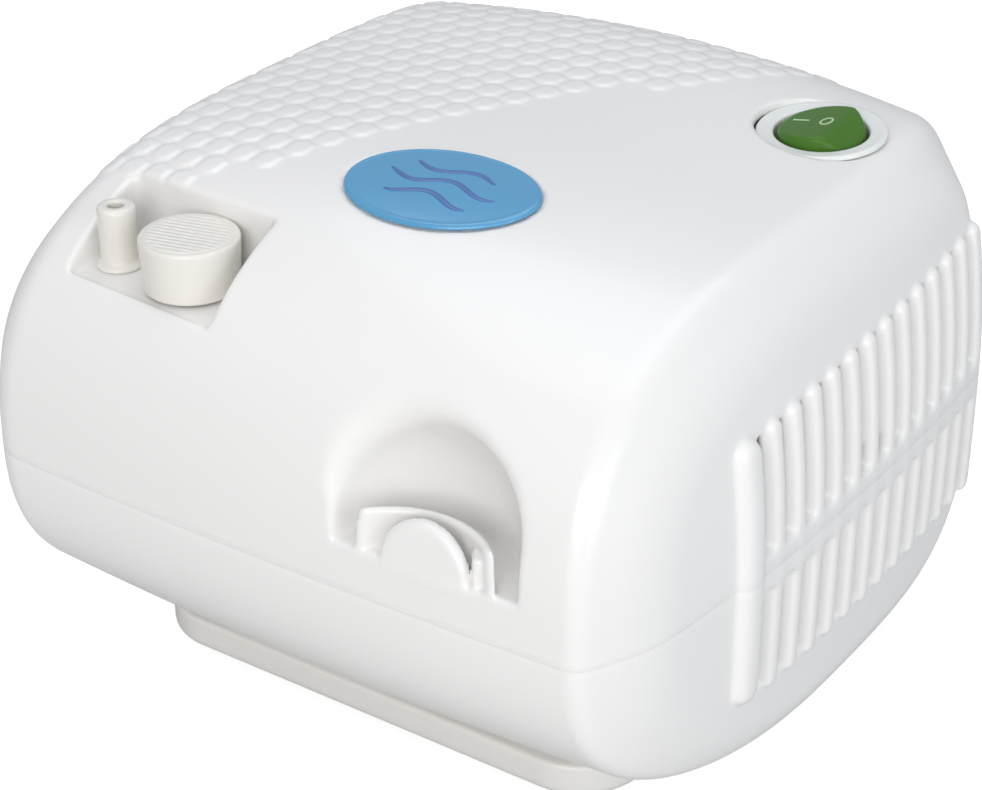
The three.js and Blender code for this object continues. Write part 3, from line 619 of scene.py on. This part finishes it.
def build_lower(h):
    fd = Field((-77.5, -77.5, -48.0), (77.5, 77.5, 1.5), h)
    x, y, z = fd.grid()
    ext = casing(fd.ax[0], fd.ax[1], fd.ax[2])
    body = np.maximum(ext, -(ext + F(WALL)))
    # flat seat above the plinth with a shadow gap
    P = PLINTH
    sl, (a, b, c) = fd.part((-62, -56, -48), (62, 56, -32))
    out = rrect(a, b, -P["a"], P["a"], -P["b"], P["b"], P["r"])
    deck = np.maximum(out - 2.6, np.abs(c + 36.6) - 1.1).astype(F)
    v = smin(body[sl], np.maximum(deck, ext[sl]), 0.5)
    cut = np.maximum(out - 1.4, c + 37.9).astype(F)
    body[sl] = smax(v, -cut, 0.8)
    body = vents(fd, -44, 1.0, body, True)
    for sx in (-1, 1):
        for sy in (-1, 1):
            sl, (a, b, c) = fd.part((sx * 61 - 6, sy * 30 - 6, -48), (sx * 61 + 6, sy * 30 + 6, 1))
            rr = np.hypot(a - sx * 61, b - sy * 30)
            post = np.maximum(rr - 4.4, ext[sl]).astype(F)
            v = smin(body[sl], post, 0.8)
            v = np.maximum(v, -(rr - 1.9).astype(F) + 0 * c)
            body[sl] = smax(v, -np.maximum(rr - 3.3, c + 26).astype(F), 0.4)
    # mains inlet opening in the rear wall
    sl, (a, b, c) = fd.part((-18, 58, -28), (18, 77, -2))
    hole = rrect(a, c, -12.4, 12.4, -22.4, -7.9, 1.5) + 0 * b
    body[sl] = smax(body[sl], -hole.astype(F), 0.8)
    main = smax(body, (z + F(0.05)) + 0 * body, F(0.2))
    lip = np.maximum(np.maximum(ext + F(1.25), -(ext + F(2.2))), np.maximum(z - F(1.1), F(-2.0) - z))
    gate = (np.maximum(np.abs(x) - 14, 0) + np.maximum(58 - y, 0)).astype(F)
    lip = np.maximum(lip, F(0.3) - gate)
    fd.v = np.minimum(main, lip)
    return fd


def build_plinth(h):
    P = PLINTH
    fd = Field((-56.5, -50.5, -51.5), (56.5, 50.5, -36.5), h)
    x, y, z = fd.grid()
    out = rrect(x, y, -P["a"], P["a"], -P["b"], P["b"], P["r"])
    skirt = smax(out, z + 43.1, 1.0)
    neck = np.maximum(out + 4.6, z + 38.3)
    v = smin(skirt, neck, 0.8)
    v = smax(v, P["bottom"] - z, 2.2)
    hollow = np.maximum(out + 7.2, P["bottom"] + 2.6 - z)
    v = np.maximum(v, -hollow)
    for sx in (-1, 1):
        for sy in (-1, 1):
            rr = np.hypot(x - sx * 37, y - sy * 34)
            v = np.maximum(v, -np.maximum(rr - 5.5, z - P["bottom"] - 1.1))
    fd.v = (v + 0 * (x + y + z)).astype(F)
    return fd


h = 0.5
for name, make in (("upper_cover", build_upper), ("lower_housing", build_lower)):
    fd = make(h)
    p, q = keep_main(*skin(fd, 2))
    _, nv = settle(p, fd, 0)
    for _ in range(2):
        nv = laplace(nv, q, 0.6)
    nv /= np.linalg.norm(nv, axis=1)[:, None] + 1e-9
    p, nv = crisp_edge(p, nv, fd, 1 if name == "upper_cover" else -1)
    to_object(name, p, q, "housing", WHITE, [name], normals=nv)
p, q = keep_main(*skin(build_plinth(h), 1))
to_object("base_plinth", p, q, "housing", BASE, ["base_plinth"])


# ---------------------------------------------------------------- badge
def build_badge():
    B = BADGE
    hh = 0.3
    fd = Field((B["x"] - 20.5, B["y"] - 15, 46), (B["x"] + 20.5, B["y"] + 15, 56), hh)
    x, y, z = fd.grid()
    ra = badge_oval(x, y)
    edge = (ra - 1) * B["b"] * 1.1
    tz = top_height(x, y)
    crown = 0.55 + 0.25 * np.clip(1 - ra, 0, 1)
    rim = 0.16 * np.exp(-(((ra - 0.95) / 0.022) ** 2))
    d = smax(edge, z - (tz + crown + rim), 0.7)
    fd.v = np.maximum(d, (tz - 0.2) - z).astype(F)
    return fd


p, q = skin(build_badge(), 1)
to_object("name_badge", p, q, "housing", BLUE, ["name_badge"])


def ribbon(name, pts, width, lift, thick, body, mat, height):
    """A thin raised stroke that follows a surface height function; closed mesh."""
    pts = np.array(pts, float)
    t = np.gradient(pts, axis=0)
    t /= np.linalg.norm(t, axis=1)[:, None]
    nrm = np.stack([-t[:, 1], t[:, 0]], 1)
    w = width if np.ndim(width) else np.full(len(pts), width)
    v, f = [], []
    prof = [(-1, 0), (-0.8, 1), (0, 1.25), (0.8, 1), (1, 0)]
    m = len(prof) + 1
    for i, c in enumerate(pts):
        for s, up in prof + [(0, -1.0)]:
            a = c + nrm[i] * s * w[i] / 2
            v.append([a[0], a[1], height(a[0], a[1]) + lift + thick * up])
    for i in range(len(pts) - 1):
        for j in range(m):
            k = (j + 1) % m
            f.append([i * m + j, i * m + k, (i + 1) * m + k, (i + 1) * m + j])
    c0 = len(v)
    v.append([*pts[0], height(*pts[0]) + lift])
    v.append([*pts[-1], height(*pts[-1]) + lift])
    for j in range(m):
        k = (j + 1) % m
        f.append([c0, k, j, j])
        f.append([c0 + 1, (len(pts) - 1) * m + j, (len(pts) - 1) * m + k, (len(pts) - 1) * m + k])
    me = bpy.data.meshes.new(name)
    v = (np.array(v) + np.array([0, 0, PZ])) * 0.001
    me.from_pydata(v.tolist(), [], [list(dict.fromkeys(a)) for a in f])
    me.update()
    me.polygons.foreach_set("use_smooth", np.ones(len(me.polygons), bool))
    o = bpy.data.objects.new(name, me)
    bpy.context.scene.collection.objects.link(o)
    me.materials.append(mat)
    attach(o, body)
    return o


def badge_top(x, y):
    ra = float(badge_oval(x, y))
    return float(top_height(np.float64(x), np.float64(y))) + 0.55 + 0.25 * max(0, 1 - ra)


for i, (dy, span) in enumerate(((4.4, 8.5), (0.0, 11.5), (-4.4, 8.5))):
    s = np.linspace(-1, 1, 40)
    px = BADGE["x"] + s * span
    py = BADGE["y"] + dy + 1.15 * np.sin(s * span * 0.42 + i * 0.9)
    w = 1.15 * np.sqrt(np.clip(1 - s**4, 0.02, 1))
    ribbon("badge_wave_%d" % (i + 1), np.stack([px, py], 1), w, 0.0, 0.09, "housing", INK, badge_top)


# ---------------------------------------------------------------- switch
def place_switch(p):
    S = SWITCH
    ct, st = math.cos(S["tilt"]), math.sin(S["tilt"])
    out = p.copy()
    out[:, 0] = p[:, 0] + S["x"]
    out[:, 1] = p[:, 1] * ct - p[:, 2] * st + S["y"]
    out[:, 2] = p[:, 1] * st + p[:, 2] * ct + S["z"]
    return out


def poly2d(x, y, pts):
    """Signed distance to a closed polygon."""
    d = np.full(np.broadcast(x, y).shape, 1e9)
    s = np.ones_like(d)
    n = len(pts)
    for i in range(n):
        ax, ay = pts[i]
        bx, by = pts[(i + 1) % n]
        ex, ey = bx - ax, by - ay
        wx, wy = x - ax, y - ay
        t = np.clip((wx * ex + wy * ey) / (ex * ex + ey * ey), 0, 1)
        d = np.minimum(d, np.hypot(wx - ex * t, wy - ey * t))
        c1, c2, c3 = y >= ay, y < by, ex * wy > ey * wx
        s = np.where((c1 & c2 & c3) | (~c1 & ~c2 & ~c3), -s, s)
    return d * s


def build_bezel():
    fd = Field((-13.2, -13.2, -21.8), (13.2, 13.2, 2.4), 0.3)
    x, y, z = fd.grid()
    r = np.hypot(x, y)
    barrel = np.maximum(np.maximum(r - 9.5, z - 0.3), -21 - z)
    face = 0.45 + 0.13 * (r - 8.9)
    ring = smax(smax(r - 12.2, z - face, 0.9), -0.2 - z, 0.3)
    v = smin(barrel, ring, 0.5)
    v = smax(v, -np.maximum(r - 8.75, -9.5 - z), 0.6)
    for cx in (-4.35, 4.35):
        v = np.maximum(v, -np.maximum(np.maximum(np.abs(x - cx) - 0.75, np.abs(y) - 2.3), z + 16))
    v = np.maximum(v, -(np.maximum(np.hypot(x, z + 1.0) - 1.05, np.abs(y) - 9.2)))
    fd.v = (v + 0 * (x + y + z)).astype(F)
    return fd


ROCK = [
    (-8.1, -0.5), (-7.9, 0.5), (-7.2, 0.95), (-2.5, 1.85), (1.8, 2.65), (2.8, 2.8), (4.0, 2.35), (8.0, -0.2),
    (8.1, -2.0), (3, -4.2), (0, -4.6), (-3, -4.2), (-6.5, -3.0),
]


def build_rocker():
    fd = Field((-9.2, -9.2, -6.2), (9.2, 9.2, 6.2), 0.2)
    x, y, z = fd.grid()
    X, Z = x[:, 0, :], z[0]
    sec = poly2d(X, Z, ROCK)[:, None, :]
    r = np.hypot(x, y) - 8.25
    v = smax(sec, r, 1.0)
    v = smin(v, np.maximum(np.hypot(x, z + 1.0) - 0.75, np.abs(y) - 9.0), 0.2)
    fd.v = (v + 0 * (x + y + z)).astype(F)
    return fd


p, q = skin(build_bezel(), 1)
to_object("switch_body", place_switch(p), q, "housing", BEZEL, ["switch_body"])
p, q = skin(build_rocker(), 2)
to_object("power_rocker", place_switch(p), q, "rocker", GREEN, ["power_rocker"])


def rocker_top(x, y):
    xs = [a for a, _ in ROCK[1:7]]
    zs = [b for _, b in ROCK[1:7]]
    return float(np.interp(x, xs, zs))


def mark(name, ring_pts, width):
    """Stroke on the rocker face, in switch coordinates."""
    pts = np.array(ring_pts, float)
    closed = np.allclose(pts[0], pts[-1])
    t = np.gradient(pts, axis=0)
    if closed:
        t[0] = t[-1] = pts[1] - pts[-2]
    t /= np.linalg.norm(t, axis=1)[:, None]
    nrm = np.stack([-t[:, 1], t[:, 0]], 1)
    n = len(pts) - 1 if closed else len(pts)
    v, f = [], []
    prof = [(-1, -0.6), (-1, 0.35), (-0.6, 0.6), (0.6, 0.6), (1, 0.35), (1, -0.6)]
    m = len(prof)
    for i in range(n):
        for s, up in prof:
            a = pts[i] + nrm[i] * s * width / 2
            v.append([a[0], a[1], rocker_top(a[0], a[1]) + 0.2 * up])
    for i in range(n if closed else n - 1):
        k2 = (i + 1) % n
        for j in range(m):
            k = (j + 1) % m
            f.append([i * m + j, i * m + k, k2 * m + k, k2 * m + j])
    if not closed:
        f.append(list(range(m))[::-1])
        f.append([(n - 1) * m + j for j in range(m)])
    v = place_switch(np.array(v))
    me = bpy.data.meshes.new(name)
    me.from_pydata(((v + np.array([0, 0, PZ])) * 0.001).tolist(), [], f)
    me.update()
    o = bpy.data.objects.new(name, me)
    bpy.context.scene.collection.objects.link(o)
    me.materials.append(MARK)
    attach(o, "rocker")
    return o


mark("rocker_mark_on", [(-5.9 + 0.47 * i, 0.0) for i in range(8)], 0.45)
ang = np.linspace(0, 2 * math.pi, 33)
mark("rocker_mark_off", np.stack([0.95 + 1.05 * np.cos(ang), 1.45 * np.sin(ang)], 1), 0.4)


# ---------------------------------------------------------------- pocket fittings
def build_nozzle():
    N, f0 = NOZZLE, POCKET["floor"]
    fd = Field((N["x"] - 5.5, N["y"] - 5.5, f0 - 10), (N["x"] + 5.5, N["y"] + 5.5, N["top"] + 1), 0.22)
    x, y, z = fd.grid()
    r = np.hypot(x - N["x"], y - N["y"])
    hgt = N["top"] - f0
    zz = z - f0
    rad = 3.3 + 0.2 * np.clip(zz / hgt, 0, 1)
    tube = smax(r - rad, zz - hgt, 1.1)
    tube = np.maximum(tube, 0.2 - zz)
    flange = smax(smax(r - 4.3, zz - 0.8, 0.7), 0.2 - zz, 0.2)
    v = smin(tube, flange, 1.4)
    stem = np.maximum(np.maximum(r - 2.4, zz - 1), -9 - zz)
    v = smin(v, stem, 0.3)
    v = smax(v, -(r - 1.5) + 0 * zz, 0.5)
    fd.v = (v + 0 * (x + y + z)).astype(F)
    return fd


def build_cap():
    C, f0 = CAP, POCKET["floor"]
    fd = Field((C["x"] - 10.2, C["y"] - 10.2, f0 - 0.5), (C["x"] + 10.2, C["y"] + 10.2, C["top"] + 1.2), 0.22)
    x, y, z = fd.grid()
    lx, ly = x - C["x"], y - C["y"]
    r = np.hypot(lx, ly)
    t = math.radians(14)
    across = -lx * math.sin(t) + ly * math.cos(t)
    along = lx * math.cos(t) + ly * math.sin(t)
    ribs = 0.1 * np.cos(across * 2 * math.pi / 1.2) * (0.75 + 0.25 * np.cos(along * 2 * math.pi / 2.6)) * np.clip((7.9 - r) / 0.6, 0, 1)
    rad = 8.55 + 0.6 * np.clip((z - f0) / 10.6, 0, 1)
    v = smax(r - rad, z - (C["top"] - 0.1 + ribs), 1.1)
    rimline = np.abs(np.hypot(r - 8.15, z - C["top"] + 0.0)) - 0.2
    v = smax(v, -rimline, 0.4)
    v = smax(v, f0 + 0.4 - z, 0.6)
    v = np.maximum(v, -np.maximum(r - 7.5, z - f0 - 8.7))
    fd.v = (v + 0 * (x + y + z)).astype(F)
    return fd


def build_seat():
    C, f0 = CAP, POCKET["floor"]
    fd = Field((C["x"] - 8.2, C["y"] - 8.2, f0 - 10), (C["x"] + 8.2, C["y"] + 8.2, f0 + 6), 0.25)
    x, y, z = fd.grid()
    r = np.hypot(x - C["x"], y - C["y"])
    zz = z - f0
    cup = smax(smax(r - 7.1, zz - 5, 0.5), 0.3 - zz, 0.4)
    cup = smax(cup, -np.maximum(r - 6.2, 1.5 - zz), 0.4)
    stem = np.maximum(np.maximum(r - 2.4, zz - 1), -9 - zz)
    v = smin(cup, stem, 0.6)
    v = smax(v, -(r - 1.35) + 0 * zz, 0.2)
    fd.v = (v + 0 * (x + y + z)).astype(F)
    return fd


p, q = skin(build_nozzle(), 1)
to_object("air_outlet_nozzle", p, q, "housing", CREAM, ["air_outlet_nozzle"])
p, q = skin(build_cap(), 1)
to_object("filter_cap", p, q, "cap", CREAM, ["filter_cap"])
p, q = skin(build_seat(), 1)
to_object("filter_seat", p, q, "housing", CREAM, ["filter_seat"])


# ---------------------------------------------------------------- mains inlet
def build_inlet():
    fd = Field((-13, 56, -23.2), (13, 76, -7), 0.3)
    x, y, z = fd.grid()
    v = smax(rrect(x, z, -12, 12, -22, -8.3, 1.6) + 0 * y, y - 74.2, 0.8)
    v = np.maximum(v, 58 - y)
    socket = smin(
        np.hypot(np.maximum(np.abs(x) - 4.4, 0), z + 15.1) - 3.9,
        rrect(x, z, -8.3, 8.3, -19, -15, 0.6),
        0.5,
    )
    v = smax(v, -np.maximum(socket, 62 - y), 0.6)
    for cx in (-4.5, 4.5):
        v = np.maximum(v, -(np.hypot(x - cx, z + 15) - 1.4) + 0 * y)
    fd.v = (v + 0 * (x + y + z)).astype(F)
    return fd


p, q = skin(build_inlet(), 1)
to_object("mains_inlet", p, q, "housing", BLACK, ["mains_inlet"])


# ---------------------------------------------------------------- stage, lights, camera
def area(name, loc, target, size, power, col, spread=180):
    li = bpy.data.lights.new(name, "AREA")
    li.shape = "RECTANGLE"
    li.size, li.size_y = size
    li.energy = power
    li.color = col
    li.spread = math.radians(spread)
    o = bpy.data.objects.new(name, li)
    bpy.context.scene.collection.objects.link(o)
    o.location = loc
    o.rotation_mode = "QUATERNION"
    o.rotation_quaternion = (Vector(target) - Vector(loc)).to_track_quat("-Z", "Y")
    return o


fm, fnt, fb = nodes_of("floor_paper")
fn = noise(fnt, 30, 3)
fnt.links.new(mix_col(fnt, ramp(fnt, fn.outputs["Fac"], 0, 1), (0.58, 0.58, 0.58), (0.6, 0.6, 0.6)), fb.inputs["Base Color"])
fb.inputs["Roughness"].default_value = 0.9
fb.inputs["Emission Color"].default_value = (1, 1, 1, 1)
glow = fnt.nodes.new("ShaderNodeMath")
glow.operation = "MULTIPLY_ADD"
fnt.links.new(fnt.nodes.new("ShaderNodeLightPath").outputs["Is Camera Ray"], glow.inputs[0])
glow.inputs[1].default_value = 0.68
glow.inputs[2].default_value = 0.04
fnt.links.new(glow.outputs["Value"], fb.inputs["Emission Strength"])
me = bpy.data.meshes.new("floor")
me.from_pydata([(-6, -6, 0), (6, -6, 0), (6, 6, 0), (-6, 6, 0)], [], [(0, 1, 2, 3)])
floor = bpy.data.objects.new("floor", me)
me.materials.append(fm)
bpy.context.scene.collection.objects.link(floor)

world = bpy.data.worlds.new("studio")
bpy.context.scene.world = world
world.use_nodes = True
bg = world.node_tree.nodes["Background"]
bg.inputs["Color"].default_value = (0.93, 0.95, 1.0, 1)
wnt = world.node_tree
sky = wnt.nodes.new("ShaderNodeMath")
sky.operation = "MULTIPLY_ADD"
wnt.links.new(wnt.nodes.new("ShaderNodeLightPath").outputs["Is Camera Ray"], sky.inputs[0])
sky.inputs[1].default_value = 0.63
sky.inputs[2].default_value = 0.45
wnt.links.new(sky.outputs["Value"], bg.inputs["Strength"])

area("key_front", (0.42, -1.12, 0.55), (0.02, 0, 0.06), (0.8, 0.7), 7.35, (1.0, 0.975, 0.945))
area("top_soft", (-0.1, 0.25, 1.2), (0, 0, 0.06), (1.2, 1.0), 5.6, (0.925, 0.96, 1.0))
area("side_fill", (1.18, -0.45, 0.38), (0, 0, 0.06), (0.8, 0.8), 4.2, (0.9, 0.95, 1.0))


def camera():
    az, el, roll = math.radians(35.41), math.radians(28.88), math.radians(-0.73)
    f, px, py, dist = 2531.94, 504.44, 382.52, 488.08
    back = Vector((math.sin(az) * math.cos(el), -math.cos(az) * math.cos(el), math.sin(el)))
    right = Vector((math.cos(az), math.sin(az), 0))
    up = back.cross(right)
    r2 = math.cos(roll) * right + math.sin(roll) * up
    u2 = -math.sin(roll) * right + math.cos(roll) * up
    ox, oy = (px - 491) / f * dist, -(py - 395) / f * dist
    c = back * dist - r2 * ox - u2 * oy
    cam = bpy.data.cameras.new("camera")
    cam.sensor_width = 36
    cam.lens = f / 982 * 36
    cam.clip_start, cam.clip_end = 0.01, 50
    o = bpy.data.objects.new("camera", cam)
    bpy.context.scene.collection.objects.link(o)
    m = Matrix((r2, u2, back)).transposed().to_4x4()
    m.translation = Vector((c.x, c.y, c.z + PZ)) * 0.001
    o.matrix_world = m
    bpy.context.scene.camera = o


camera()
bpy.context.scene.view_settings.view_transform = "Standard"
bpy.context.scene.view_settings.look = "None"
bpy.context.scene.view_settings.exposure = 0.0
